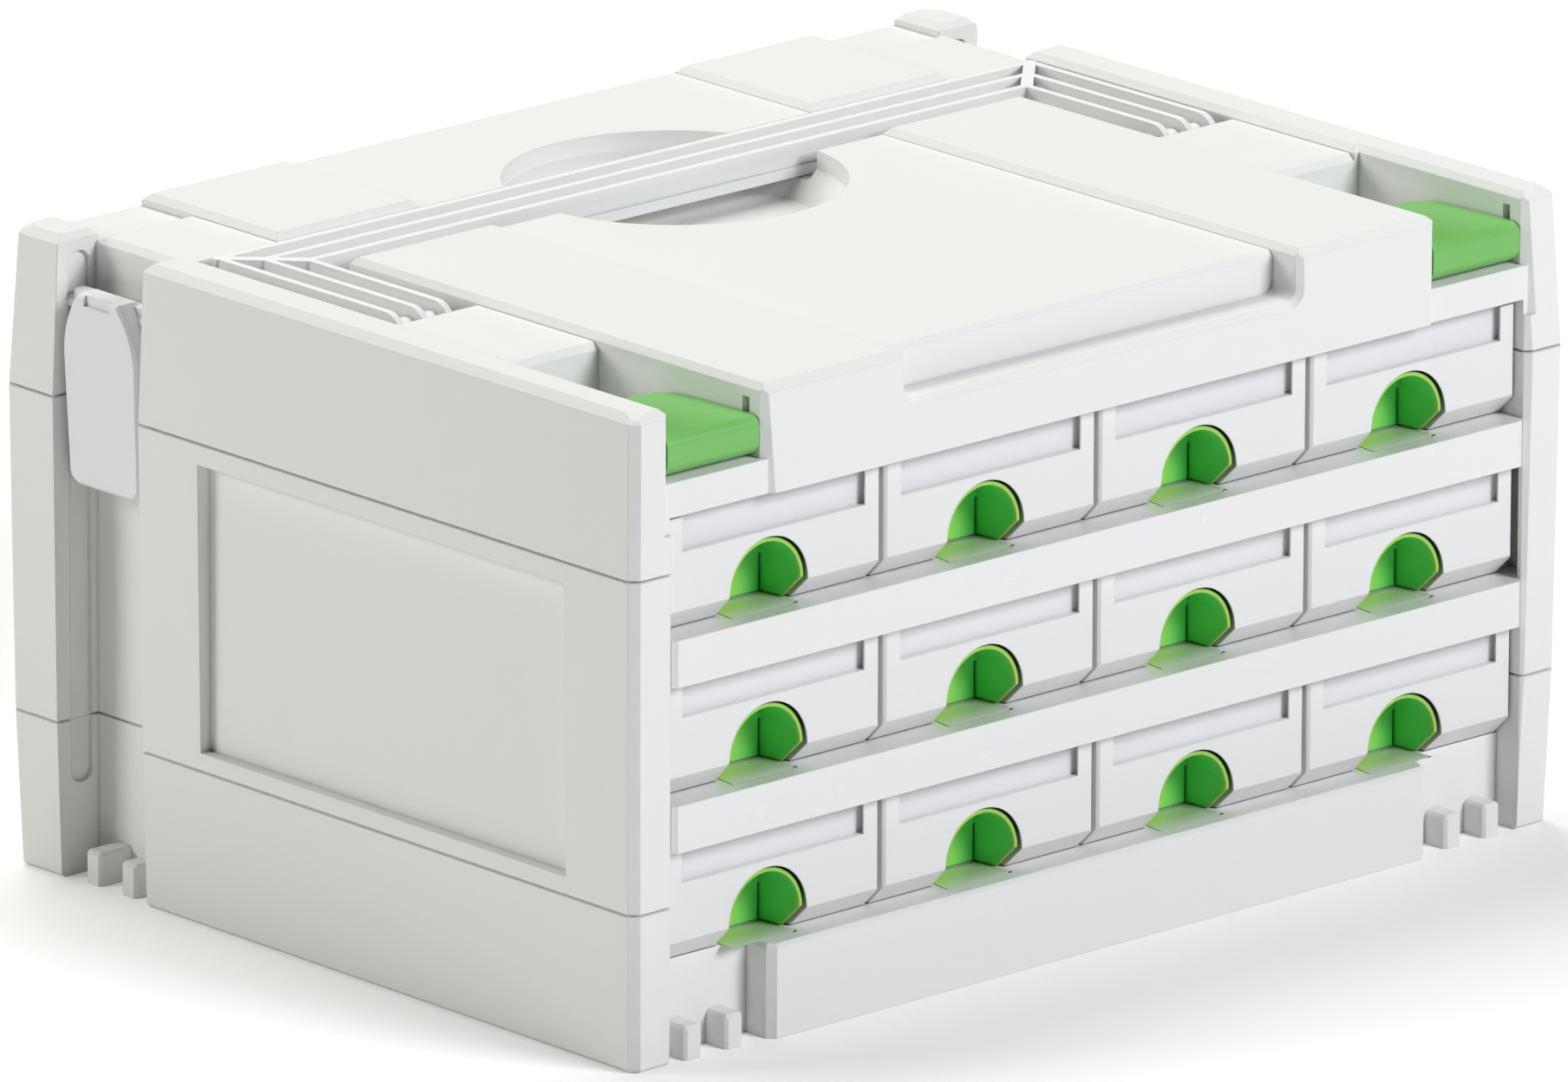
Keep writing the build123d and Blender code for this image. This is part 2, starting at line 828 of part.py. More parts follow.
def make_pull():
    """Finger cup: a tapered arch-shaped lining, open to the front and below, with tabs and slits."""
    back = drawer_face + cup_depth
    tab_face = drawer_face + drawer_front_thickness + running_clearance
    tab_low = drawer_chamfer + drawer_front_thickness * (sqrt(2) - 1) + fit_clearance
    with BuildPart() as pull:
        add(cup_solid(cup_wall, cup_foot_gap))
        paired_blocks(
            cup_back_half_width,
            cup_radius + cup_wall + cup_tab_reach,
            tab_face,
            tab_face + cup_tab_thickness,
            tab_low,
            tab_low + cup_tab_height,
        )
        add(cup_solid(0, -overrun), mode=Mode.SUBTRACT)
        paired_blocks(
            cup_back_half_width - cup_slit_width,
            cup_back_half_width,
            back - cup_wall,
            back + cup_wall + overrun,
            -overrun,
            cup_rise + cup_radius / 3,
            Mode.SUBTRACT,
        )
        with BuildSketch(Plane.YZ) as behind_face:
            front_profile(cup_setback, cup_foot_gap)
        extrude(behind_face.sketch, amount=drawer_width, both=True, mode=Mode.INTERSECT)
    return pull.part.moved(Location((cup_offset, 0, 0)))


def make_label():
    """Blank card that slides down into the label slot."""
    card_half = drawer_width / 2 - label_margin + label_undercut - fit_clearance
    card_back = drawer_face + label_depth
    with BuildPart() as label:
        block(
            -card_half,
            card_half,
            card_back - card_thickness,
            card_back,
            drawer_height - label_height,
            drawer_height - fit_clearance,
        )
    return label.part


def handle_ring(start, end):
    """Plan of a U-shaped strip of the handle, between two distances from its outer edge."""
    with BuildSketch() as ring:
        for inset, mode in ((start, Mode.ADD), (end, Mode.SUBTRACT)):
            with Locations((0, handle_rear - inset)):
                Rectangle(
                    2 * (handle_half - inset),
                    handle_rear - handle_end,
                    align=(Align.CENTER, Align.MAX),
                    mode=mode,
                )
    return ring.sketch


def make_handle():
    """Carry handle: a U-shaped plate with three ribs, corner webs, rounded ends and moulded trunnions."""
    plate_top = handle_bottom + handle_plate
    with BuildPart() as handle:
        extrude(handle_ring(0, handle_band).moved(Location((0, 0, handle_bottom))), amount=handle_plate)
        for rib in range(rib_count):
            start = rib_first + rib * rib_pitch
            strip = handle_ring(start, start + rib_width).moved(Location((0, 0, plate_top)))
            extrude(strip, amount=handle_top - plate_top)
        corner = handle_band / 2
        with BuildSketch(Plane.XY.offset(plate_top)) as webs:
            for side in (-1, 1):
                with Locations(Location((side * (handle_half - corner), handle_rear - corner), side * 45)):
                    Rectangle((handle_band - 2 * rib_first) * sqrt(2), web_width)
        extrude(webs.sketch, amount=handle_top - plate_top)
        with BuildSketch(Plane.YZ.offset(-handle_half)) as swing:
            with Locations((handle_pivot_y, handle_pivot_z)):
                Circle(handle_end_radius)
            with Locations((handle_pivot_y, handle_bottom)):
                Rectangle(handle_reach, handle_depth, align=(Align.MIN, Align.MIN))
        extrude(swing.sketch, amount=2 * handle_half, mode=Mode.INTERSECT)
        paired_rods_along_x(
            handle_half - handle_band, handle_half, handle_pivot_y, handle_pivot_z, handle_hub_radius
        )
        paired_rods_along_x(
            handle_half - rib_width,
            rail_edge + handle_pin_length - fit_clearance,
            handle_pivot_y,
            handle_pivot_z,
            handle_pin_radius,
        )
    return handle.part


def make_front_latch():
    """Right-hand front latch: blunt nose round the pivot, crowned plate, catch bar and moulded trunnions."""
    tail = front_pivot_y - latch_nose_half + latch_length
    plate_top = front_pivot_z + latch_nose_half
    plate_bottom = plate_top - latch_plate
    with BuildPart() as latch:
        with BuildSketch(Plane.YZ.offset(front_latch_x)) as side_view:
            with Locations((front_pivot_y, front_pivot_z)):
                Rectangle(2 * latch_nose_half, 2 * latch_nose_half)
            fillet(side_view.vertices().group_by(Axis.Y)[0], radius=latch_nose_foot_radius)
            nose_top = side_view.vertices().group_by(Axis.Y)[-1].sort_by(Axis.X)[0]
            fillet(nose_top, radius=latch_nose_top_radius)
            with BuildLine():
                Polyline(
                    (front_pivot_y, plate_top),
                    (front_pivot_y, plate_bottom),
                    (tail, plate_bottom),
                    (tail, plate_top - latch_crown),
                )
                ThreePointArc(
                    (tail, plate_top - latch_crown),
                    ((tail + front_pivot_y) / 2, plate_top - latch_crown / 4),
                    (front_pivot_y, plate_top),
                )
            make_face()
            with Locations((tail - latch_catch_setback, plate_bottom)):
                Rectangle(latch_catch_width, latch_catch_drop, align=(Align.CENTER, Align.MAX))
        extrude(side_view.sketch, amount=front_latch_half, both=True)
        tail_corners = latch.edges().filter_by(Axis.Z).filter_by_position(
            Axis.Y, tail - running_clearance, tail + running_clearance
        )
        fillet(tail_corners, radius=latch_corner_radius)
        with BuildSketch(Plane.YZ.offset(front_latch_x)) as trunnion:
            with Locations((front_pivot_y, front_pivot_z)):
                Circle(latch_pin_radius)
        extrude(trunnion.sketch, amount=pocket_width / 2 + latch_pin_length, both=True)
    return latch.part


def make_side_latch():
    """Right-hand side latch: backing plate, shield-shaped pad with a thumb notch, and moulded trunnions."""
    head = side_pivot_z + side_latch_head
    tail = side_pivot_z - side_latch_tail
    pad_back = side_plate_back + side_plate
    pad_face = pad_back + side_pad_thickness
    pad_head = head + side_pad_head_rise
    shoulder = pad_head - side_pad_shoulder_drop
    with BuildPart() as latch:
        block(
            side_plate_back,
            pad_back,
            channel_middle - side_plate_width / 2,
            channel_middle + side_plate_width / 2,
            tail,
            head,
        )
        with BuildSketch(Plane.YZ.offset(pad_back - side_plate / 2)) as shield:
            with BuildLine():
                foot = Line((0, tail), (side_pad_foot_width / 2, tail))
                flank = Line(foot @ 1, (side_pad_width / 2, shoulder))
                ThreePointArc(
                    flank @ 1,
                    (
                        (side_pad_width + side_pad_head_width) / 4 + side_pad_bulge,
                        (shoulder + pad_head) / 2 + side_pad_bulge,
                    ),
                    (side_pad_head_width / 2, pad_head),
                )
                Polyline((side_pad_head_width / 2, pad_head), (0, pad_head), (0, tail))
            make_face()
            mirror(about=Plane.YZ)
            fillet(shield.vertices().group_by(Axis.Y)[0], radius=side_pad_corner_radius)
        extrude(
            shield.sketch.moved(Location((0, channel_middle, 0))),
            amount=side_pad_thickness + side_plate / 2,
        )
        with BuildSketch(Plane.XZ.offset(-channel_middle)) as lean:
            with BuildLine():
                Polyline(
                    (pad_face, pad_head),
                    (pad_face + overrun, pad_head),
                    (pad_face + overrun, tail - overrun),
                    (pad_face - side_pad_lean, tail - overrun),
                    close=True,
                )
            make_face()
        extrude(lean.sketch, amount=channel_width, both=True, mode=Mode.SUBTRACT)
        chamfer(latch.faces().sort_by(Axis.X)[-1].edges(), length=side_pad_edge)
        block(
            pad_face - side_notch_depth,
            pad_face + overrun,
            channel_middle - side_notch_width / 2,
            channel_middle + side_notch_width / 2,
            pad_head - side_notch_height,
            pad_head + overrun,
            Mode.SUBTRACT,
        )
        lug_half = channel_width / 2 - fit_clearance
        block(
            side_plate_back,
            pad_back,
            channel_middle - lug_half,
            channel_middle + lug_half,
            side_pivot_z - side_lug_drop - side_lug_height,
            side_pivot_z - side_lug_drop,
        )
        with BuildSketch(Plane.XZ.offset(-channel_middle)) as trunnion:
            with Locations((side_pivot_x, side_pivot_z)):
                Circle(side_pin_radius)
        extrude(trunnion.sketch, amount=channel_width / 2 + side_pin_length, both=True)
    return latch.part


def write(part, name):
    """Labels a finished piece and writes it."""
    part.label = name
    export_step(part, f"parts/{name}.step")
    print(name, round(part.volume))


os.makedirs("parts", exist_ok=True)
write(make_base(), "base_shell")
write(make_middle(), "middle_frame")
write(make_cover(), "top_cover")
write(make_shelf(deck_height, fascia=False), "floor_shelf")
write(make_shelf(shelf_top(2), fascia=True), "lower_shelf")
write(make_shelf(shelf_top(1), fascia=True), "upper_shelf")
write(make_handle(), "carry_handle")
front_latch = make_front_latch()
write(front_latch, "front_latch_right")
write(mirror(front_latch, about=Plane.YZ, mode=Mode.PRIVATE), "front_latch_left")
side_latch = make_side_latch()
write(side_latch, "side_latch_right")
write(mirror(side_latch, about=Plane.YZ, mode=Mode.PRIVATE), "side_latch_left")
drawer_pieces = {"drawer": make_drawer(), "pull": make_pull(), "label": make_label()}
for row in range(1, rows + 1):
    for column in range(1, columns + 1):
        place = Location((column_middle(column), 0, shelf_top(row)))
        for kind, piece in drawer_pieces.items():
            write(piece.moved(place), f"{kind}_r{row}_c{column}")
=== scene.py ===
# %% [markdown]
# # A stacking drawer case
# The case is a workshop organizer: three pale moulded shells, rows of small drawers, green finger cups and green
# or grey latches. Its shapes are already exact solids, so this lesson does not model them again. It loads them as
# a fixed frame and gives each one the finish that the real moulding has.

# %% Load the solids
import math

import bmesh
import bpy
import numpy as np
from mathutils import Matrix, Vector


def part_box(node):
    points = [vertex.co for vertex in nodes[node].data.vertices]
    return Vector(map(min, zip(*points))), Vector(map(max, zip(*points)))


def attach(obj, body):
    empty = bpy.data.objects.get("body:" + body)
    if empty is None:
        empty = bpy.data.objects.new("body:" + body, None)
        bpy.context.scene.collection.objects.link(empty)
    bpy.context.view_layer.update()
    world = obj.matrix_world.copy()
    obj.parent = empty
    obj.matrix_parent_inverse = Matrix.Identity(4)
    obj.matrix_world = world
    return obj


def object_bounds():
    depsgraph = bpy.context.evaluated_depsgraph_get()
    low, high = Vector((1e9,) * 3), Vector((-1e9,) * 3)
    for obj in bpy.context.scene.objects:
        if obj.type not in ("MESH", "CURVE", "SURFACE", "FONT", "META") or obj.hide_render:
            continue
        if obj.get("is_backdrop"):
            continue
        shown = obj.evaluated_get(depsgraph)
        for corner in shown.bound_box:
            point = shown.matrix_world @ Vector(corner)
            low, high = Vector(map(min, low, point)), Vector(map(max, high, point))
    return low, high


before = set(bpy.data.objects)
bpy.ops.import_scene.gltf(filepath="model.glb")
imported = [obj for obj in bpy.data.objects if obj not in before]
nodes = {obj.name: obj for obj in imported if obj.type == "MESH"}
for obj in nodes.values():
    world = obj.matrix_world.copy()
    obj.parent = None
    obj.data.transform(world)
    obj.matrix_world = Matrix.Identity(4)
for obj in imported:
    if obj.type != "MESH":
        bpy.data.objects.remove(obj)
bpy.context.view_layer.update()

# %% [markdown]
# ## The camera
# The picture of the case was taken from far away with a long lens, so its parallel edges stay almost parallel.
# A camera could be placed by eye, but here its direction was worked out from the corners of the case, which fixes
# the angle, the distance and the lens together. The three rows are the camera's right, up and backward directions.

# %% Camera
VIEW_RIGHT = (0.7396, -0.6731, 0.0030)
VIEW_UP = (0.1914, 0.2146, 0.9577)
VIEW_BACK = (-0.6453, -0.7077, 0.2876)
VIEW_PLACE = (-4.415, -4.841, 2.067)
SENSOR_WIDTH = 36
LENS = 497.8
FARTHEST_SEEN = 60
CASE_MIDDLE = (0, 0, 0.1)

camera = bpy.data.objects.new("camera", bpy.data.cameras.new("camera"))
camera.data.sensor_width = SENSOR_WIDTH
camera.data.lens = LENS
camera.data.clip_end = FARTHEST_SEEN
turn = Matrix((VIEW_RIGHT, VIEW_UP, VIEW_BACK)).transposed()
camera.matrix_world = Matrix.Translation(VIEW_PLACE) @ turn.to_4x4()
bpy.context.scene.collection.objects.link(camera)
bpy.context.scene.camera = camera
print("camera", round(math.dist(VIEW_PLACE, CASE_MIDDLE), 2), "m from the case")

# %% [markdown]
# ## The floor
# The case stands on a plain white table. A single plane would do, but a disc that is worked out on a polar grid
# shows the usual way to turn a formula into a mesh: all points at once as numpy arrays, then one call to hand
# them over. The disc is wide, so that its edge is never seen.


# %% Floor disc
FLOOR_REACH = 40.0
FLOOR_RINGS = 40
FLOOR_SPOKES = 64
INNERMOST_STEP = 0.01


def grid_mesh(name, points):
    """Mesh of a grid of points: quads join each point to its neighbours, and each row of the array closes round."""
    rows, columns, _ = points.shape
    here = np.arange(rows * columns).reshape(rows, columns)
    after = np.roll(here, -1, axis=1)
    quads = np.stack([here[:-1], after[:-1], after[1:], here[1:]], axis=-1).reshape(-1, 4)
    mesh = bpy.data.meshes.new(name)
    mesh.from_pydata(points.reshape(-1, 3).tolist(), [], quads.tolist())
    mesh.update()
    return mesh


def floor_disc(reach, rings, spokes):
    """Flat disc on z = 0: the radius is reach times the square of an even step, the angle goes once round."""
    radius = reach * np.linspace(INNERMOST_STEP, 1, rings)[:, None] ** 2
    angle = np.linspace(0, 2 * np.pi, spokes, endpoint=False)[None, :]
    flat = np.zeros((rings, spokes))
    return np.stack([radius * np.cos(angle), radius * np.sin(angle), flat], axis=-1)


disc = floor_disc(FLOOR_REACH, FLOOR_RINGS, FLOOR_SPOKES)
floor = bpy.data.objects.new("floor", grid_mesh("floor", disc))
bpy.context.scene.collection.objects.link(floor)
floor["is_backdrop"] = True
print("floor with", len(floor.data.polygons), "faces")

# %% [markdown]
# The floor's own shade is a little under white, as paper is. Seen directly it is lifted to white by a faint glow
# that only camera rays meet, so the shadow under the case stays and the light on the case does not change.


# %% Floor paper
PAPER_SHADE = 0.86
PAPER_GLOW = 0.2


def link(tree, source, target):
    """Wire from an output socket to an input socket."""
    tree.links.new(source, target)


def new_material(name):
    """Empty node material with its output node."""
    material = bpy.data.materials.new(name)
    material.use_nodes = True
    material.node_tree.nodes.clear()
    return material, material.node_tree, material.node_tree.nodes.new("ShaderNodeOutputMaterial")


paper, tree, output = new_material("floor_paper")
diffuse = tree.nodes.new("ShaderNodeBsdfDiffuse")
diffuse.inputs["Color"].default_value = (PAPER_SHADE, PAPER_SHADE, PAPER_SHADE, 1)
glow = tree.nodes.new("ShaderNodeEmission")
path = tree.nodes.new("ShaderNodeLightPath")
lift = tree.nodes.new("ShaderNodeMath")
lift.operation = "MULTIPLY"
lift.inputs[1].default_value = PAPER_GLOW
both = tree.nodes.new("ShaderNodeAddShader")
link(tree, path.outputs["Is Camera Ray"], lift.inputs[0])
link(tree, lift.outputs[0], glow.inputs["Strength"])
link(tree, diffuse.outputs[0], both.inputs[0])
link(tree, glow.outputs[0], both.inputs[1])
link(tree, both.outputs[0], output.inputs["Surface"])
floor.data.materials.append(paper)
print("floor paper ready")

# %% [markdown]
# ## Studio light
# Three large lamps make the picture. The front is almost as bright as the top, so the strongest lamp stands to
# the right of the drawers and high. The wall of the left channel carries the soft shadow of the rear post, which
# tells that the left side is lit from behind, at about 35 degrees. The third lamp hangs high over the rear edge and
# mostly brightens the top. The room itself is almost dark as a source of light, which keeps the recesses deep, and
# white where the camera looks at it.


# %% Lamps and room
ROOM_LIGHT = 0.03
ROOM_SEEN = 1.0


def soft_lamp(name, place, size, power, colour):
    """Square area lamp at a place, facing the middle of the case; its local -Z axis is the way it shines."""
    data = bpy.data.lights.new(name, "AREA")
    data.size = size
    data.energy = power
    data.color = colour
    lamp = bpy.data.objects.new(name, data)
    back = np.subtract(place, CASE_MIDDLE)
    back = back / np.linalg.norm(back)
    side = np.cross((0, 0, 1), back)
    side = side / np.linalg.norm(side)
    up = np.cross(back, side)
    lamp.matrix_world = Matrix.Translation(place) @ Matrix((side, up, back)).transposed().to_4x4()
    bpy.context.scene.collection.objects.link(lamp)


soft_lamp("front_lamp", place=(0.9, -3.0, 1.9), size=1.4, power=95, colour=(0.958, 0.961, 1.0))
soft_lamp("high_lamp", place=(0.3, 1.3, 3.0), size=1.6, power=68, colour=(0.995, 1.0, 0.96))
soft_lamp("left_lamp", place=(-2.5, 1.75, 1.4), size=1.2, power=47, colour=(1.0, 0.99, 0.965))

room = bpy.data.worlds.new("white_room")
room.use_nodes = True
bpy.context.scene.world = room
tree = room.node_tree
tree.nodes.clear()
output = tree.nodes.new("ShaderNodeOutputWorld")
seen = tree.nodes.new("ShaderNodeBackground")
seen.inputs["Strength"].default_value = ROOM_SEEN
seen.inputs["Color"].default_value = (1, 1, 1, 1)
light = tree.nodes.new("ShaderNodeBackground")
light.inputs["Strength"].default_value = ROOM_LIGHT
light.inputs["Color"].default_value = (1, 1, 1, 1)
path = tree.nodes.new("ShaderNodeLightPath")
either = tree.nodes.new("ShaderNodeMath")
either.operation = "MAXIMUM"
choose = tree.nodes.new("ShaderNodeMixShader")
link(tree, path.outputs["Is Camera Ray"], either.inputs[0])
link(tree, path.outputs["Is Transmission Ray"], either.inputs[1])
link(tree, either.outputs[0], choose.inputs["Fac"])
link(tree, light.outputs[0], choose.inputs[1])
link(tree, seen.outputs[0], choose.inputs[2])
link(tree, choose.outputs[0], output.inputs["Surface"])
bpy.context.scene.view_settings.view_transform = "Standard"
print("three lamps and a white room")

# %% [markdown]
# ## Moulded grain
# Moulds for cases like this are spark eroded, which leaves a fine pebbled grain on every outer face. It could be
# painted as an image, but a node group that reads the object's own coordinates has no seams and never repeats.
# The group gives a height for the bump, a slow drift of tone and a roughness that varies in patches.


# %% Grain group
DRIFT_SCALE = 9.0
FLOW_SCALE = 60.0
PEBBLE_SHARE = 0.2


def new_group(name, inputs, outputs):
    """Shader node group with named float or vector sockets."""
    group = bpy.data.node_groups.new(name, "ShaderNodeTree")
    for label, kind, value in inputs:
        socket = group.interface.new_socket(label, in_out="INPUT", socket_type=kind)
        if value is not None:
            socket.default_value = value
    for label, kind in outputs:
        group.interface.new_socket(label, in_out="OUTPUT", socket_type=kind)
    return group, group.nodes.new("NodeGroupInput"), group.nodes.new("NodeGroupOutput")


def noise(tree, vector, scale, detail, roughness):
    """Noise node on a vector; scale counts features per metre."""
    node = tree.nodes.new("ShaderNodeTexNoise")
    node.inputs["Detail"].default_value = detail
    node.inputs["Roughness"].default_value = roughness
    if isinstance(scale, (int, float)):
        node.inputs["Scale"].default_value = scale
    else:
        link(tree, scale, node.inputs["Scale"])
    link(tree, vector, node.inputs["Vector"])
    return node.outputs["Fac"]


def combine(tree, operation, first, second):
    """Math node; each side is a socket or a number."""
    node = tree.nodes.new("ShaderNodeMath")
    node.operation = operation
    for slot, value in enumerate((first, second)):
        if isinstance(value, (int, float)):
            node.inputs[slot].default_value = value
        else:
            link(tree, value, node.inputs[slot])
    return node.outputs[0]


def ramp(tree, value, start, end):
    """Map Range node: 0 at start, 1 at end, straight between and held outside; end may lie below start."""
    node = tree.nodes.new("ShaderNodeMapRange")
    node.inputs["From Min"].default_value = start
    node.inputs["From Max"].default_value = end
    link(tree, value, node.inputs["Value"])
    return node.outputs["Result"]


grain, entry, leave = new_group(
    "moulded_grain",
    [
        ("Vector", "NodeSocketVector", None),
        ("Grain Scale", "NodeSocketFloat", 1800.0),
        ("Rough Base", "NodeSocketFloat", 0.5),
        ("Rough Spread", "NodeSocketFloat", 0.1),
    ],
    [("Height", "NodeSocketFloat"), ("Tone", "NodeSocketFloat"), ("Roughness", "NodeSocketFloat")],
)
pebbles = noise(grain, entry.outputs["Vector"], entry.outputs["Grain Scale"], 3.0, 0.6)
drift = noise(grain, entry.outputs["Vector"], DRIFT_SCALE, 4.0, 0.55)
flow = noise(grain, entry.outputs["Vector"], FLOW_SCALE, 2.0, 0.5)
uneven = combine(grain, "MULTIPLY", combine(grain, "SUBTRACT", flow, 0.5), entry.outputs["Rough Spread"])
slow_part = combine(grain, "MULTIPLY", drift, 1 - PEBBLE_SHARE)
fine_part = combine(grain, "MULTIPLY", pebbles, PEBBLE_SHARE)
link(grain, pebbles, leave.inputs["Height"])
link(grain, combine(grain, "ADD", slow_part, fine_part), leave.inputs["Tone"])
link(grain, combine(grain, "ADD", entry.outputs["Rough Base"], uneven), leave.inputs["Roughness"])
print("grain group with", len(grain.nodes), "nodes")

# %% [markdown]
# ## Soft edges and inner corners
# No moulded edge is truly sharp: the tool is cut with a small radius and handling polishes it further. Rounding
# every edge in the mesh would multiply its faces, so the edge is rounded for light only. The Bevel node returns
# the direction that the surface would face with a radius, and where it differs from the true one lies an edge.
# Outer edges take a painted edge tone: a painted highlight on most parts and a cooler painted shade on the shells.
# Inner corners are darkened as painted shade. An Ambient Occlusion node that looks only at its own part tells the
# two apart, and because each part moves as one piece the result is the same in every pose.

# %% Edge group
EDGE_GAIN = 3.0
OUTER_OPENNESS = (0.6, 0.85)
CORNER_OPENNESS = (0.62, 0.2)
EDGE_SAMPLES = 6

edges, entry, leave = new_group(
    "soft_edges",
    [("Radius", "NodeSocketFloat", 0.0006), ("Corner Reach", "NodeSocketFloat", 0.003)],
    [("Edge", "NodeSocketFloat"), ("Corner", "NodeSocketFloat"), ("Normal", "NodeSocketVector")],
)
rounded = edges.nodes.new("ShaderNodeBevel")
rounded.samples = EDGE_SAMPLES
link(edges, entry.outputs["Radius"], rounded.inputs["Radius"])
true_face = edges.nodes.new("ShaderNodeNewGeometry")
agree = edges.nodes.new("ShaderNodeVectorMath")
agree.operation = "DOT_PRODUCT"
link(edges, rounded.outputs["Normal"], agree.inputs[0])
link(edges, true_face.outputs["True Normal"], agree.inputs[1])
differ = combine(edges, "MULTIPLY", combine(edges, "SUBTRACT", 1.0, agree.outputs["Value"]), EDGE_GAIN)
open_sky = edges.nodes.new("ShaderNodeAmbientOcclusion")
open_sky.samples = EDGE_SAMPLES
open_sky.only_local = True
link(edges, entry.outputs["Corner Reach"], open_sky.inputs["Distance"])
outer = ramp(edges, open_sky.outputs["AO"], *OUTER_OPENNESS)
link(edges, combine(edges, "MULTIPLY", combine(edges, "MINIMUM", differ, 1.0), outer), leave.inputs["Edge"])
link(edges, ramp(edges, open_sky.outputs["AO"], *CORNER_OPENNESS), leave.inputs["Corner"])
link(edges, rounded.outputs["Normal"], leave.inputs["Normal"])
print("edge group with", len(edges.nodes), "nodes")

# %% [markdown]
# ## The plastics
# All the finishes are one recipe with different values: a base tone, a slightly shifted second tone that drifts
# over the part, a painted edge tone, painted shade in inner corners, the grain as a bump and a satin or dull
# roughness. One function builds them, so the differences between shell, drawer, latch and cup are only the numbers
# in the calls below. The shells are the dullest and their edges get a cooler, darker painted shade. The shelves are
# the smoothest and mirror the cups.


# %% Plastic recipe
BUMP_HEIGHT = 0.0001
# Inner corners are darkened towards this share of the tone: painted shade.
CORNER_SHADE_DARKNESS = 0.2


def blend_tone(material, mask, tone):
    """Mix a tone into what feeds the base colour, as far as the mask says."""
    tree = material.node_tree
    surface = next(node for node in tree.nodes if node.type == "BSDF_PRINCIPLED")
    mix = tree.nodes.new("ShaderNodeMix")
    mix.data_type = "RGBA"
    mix.inputs["B"].default_value = (*tone, 1)
    link(tree, surface.inputs["Base Color"].links[0].from_socket, mix.inputs["A"])
    link(tree, mask, mix.inputs["Factor"])
    link(tree, mix.outputs["Result"], surface.inputs["Base Color"])


def moulded_plastic(
    name, tone, second_tone, painted_edge_tone, rough, spread, grain_scale, bump, edge_radius, specular, painted_corner_shade
):
    """Principled plastic: tone drifts to second_tone by the grain group; outer edges get a painted edge tone and
    inner corners a painted shade.
    """
    material, tree, output = new_material(name)
    place = tree.nodes.new("ShaderNodeTexCoord")
    grained = tree.nodes.new("ShaderNodeGroup")
    grained.node_tree = grain
    grained.inputs["Grain Scale"].default_value = grain_scale
    grained.inputs["Rough Base"].default_value = rough
    grained.inputs["Rough Spread"].default_value = spread
    link(tree, place.outputs["Object"], grained.inputs["Vector"])
    edged = tree.nodes.new("ShaderNodeGroup")
    edged.node_tree = edges
    edged.inputs["Radius"].default_value = edge_radius
    drifted = tree.nodes.new("ShaderNodeMix")
    drifted.data_type = "RGBA"
    drifted.inputs["A"].default_value = (*tone, 1)
    drifted.inputs["B"].default_value = (*second_tone, 1)
    link(tree, grained.outputs["Tone"], drifted.inputs["Factor"])
    relief = tree.nodes.new("ShaderNodeBump")
    relief.inputs["Strength"].default_value = bump
    relief.inputs["Distance"].default_value = BUMP_HEIGHT
    link(tree, grained.outputs["Height"], relief.inputs["Height"])
    link(tree, edged.outputs["Normal"], relief.inputs["Normal"])
    surface = tree.nodes.new("ShaderNodeBsdfPrincipled")
    surface.inputs["Specular IOR Level"].default_value = specular
    link(tree, drifted.outputs["Result"], surface.inputs["Base Color"])
    link(tree, grained.outputs["Roughness"], surface.inputs["Roughness"])
    link(tree, relief.outputs["Normal"], surface.inputs["Normal"])
    link(tree, surface.outputs[0], output.inputs["Surface"])
    # Outer edges get the painted edge tone: a painted highlight on most parts, a cooler painted shade on the
    # shells.
    blend_tone(material, edged.outputs["Edge"], painted_edge_tone)
    # Inner corners get a painted shade from the local occlusion mask.
    painted_corner_mask = combine(tree, "MULTIPLY", edged.outputs["Corner"], painted_corner_shade)
    blend_tone(material, painted_corner_mask, [CORNER_SHADE_DARKNESS * value for value in tone])
    return material


shell_plastic = moulded_plastic(
    "shell_plastic",
    tone=(0.80, 0.81, 0.79),
    second_tone=(0.82, 0.825, 0.81),
    painted_edge_tone=(0.76, 0.785, 0.81),
    rough=0.72,
    spread=0.12,
    grain_scale=1800.0,
    bump=0.25,
    edge_radius=0.0006,
    specular=0.25,
    painted_corner_shade=0.5,
)
drawer_plastic = moulded_plastic(
    "drawer_plastic",
    tone=(0.775, 0.78, 0.77),
    second_tone=(0.795, 0.80, 0.79),
    painted_edge_tone=(0.86, 0.865, 0.86),
    rough=0.42,
    spread=0.1,
    grain_scale=2200.0,
    bump=0.15,
    edge_radius=0.0005,
    specular=0.45,
    painted_corner_shade=0.35,
)
handle_plastic = moulded_plastic(
    "handle_plastic",
    tone=(0.79, 0.80, 0.785),
    second_tone=(0.81, 0.815, 0.805),
    painted_edge_tone=(0.86, 0.865, 0.855),
    rough=0.6,
    spread=0.12,
    grain_scale=1800.0,
    bump=0.2,
    edge_radius=0.0003,
    specular=0.3,
    painted_corner_shade=0.3,
)
grey_latch_plastic = moulded_plastic(
    "grey_latch_plastic",
    tone=(0.79, 0.80, 0.805),
    second_tone=(0.81, 0.82, 0.825),
    painted_edge_tone=(0.86, 0.865, 0.865),
    rough=0.4,
    spread=0.1,
    grain_scale=2000.0,
    bump=0.15,
    edge_radius=0.0006,
    specular=0.45,
    painted_corner_shade=0.3,
)
green_latch_plastic = moulded_plastic(
    "green_latch_plastic",
    tone=(0.172, 0.492, 0.112),
    second_tone=(0.19, 0.52, 0.125),
    painted_edge_tone=(0.26, 0.60, 0.17),
    rough=0.36,
    spread=0.1,
    grain_scale=1500.0,
    bump=0.15,
    edge_radius=0.0006,
    specular=0.5,
    painted_corner_shade=0.5,
)
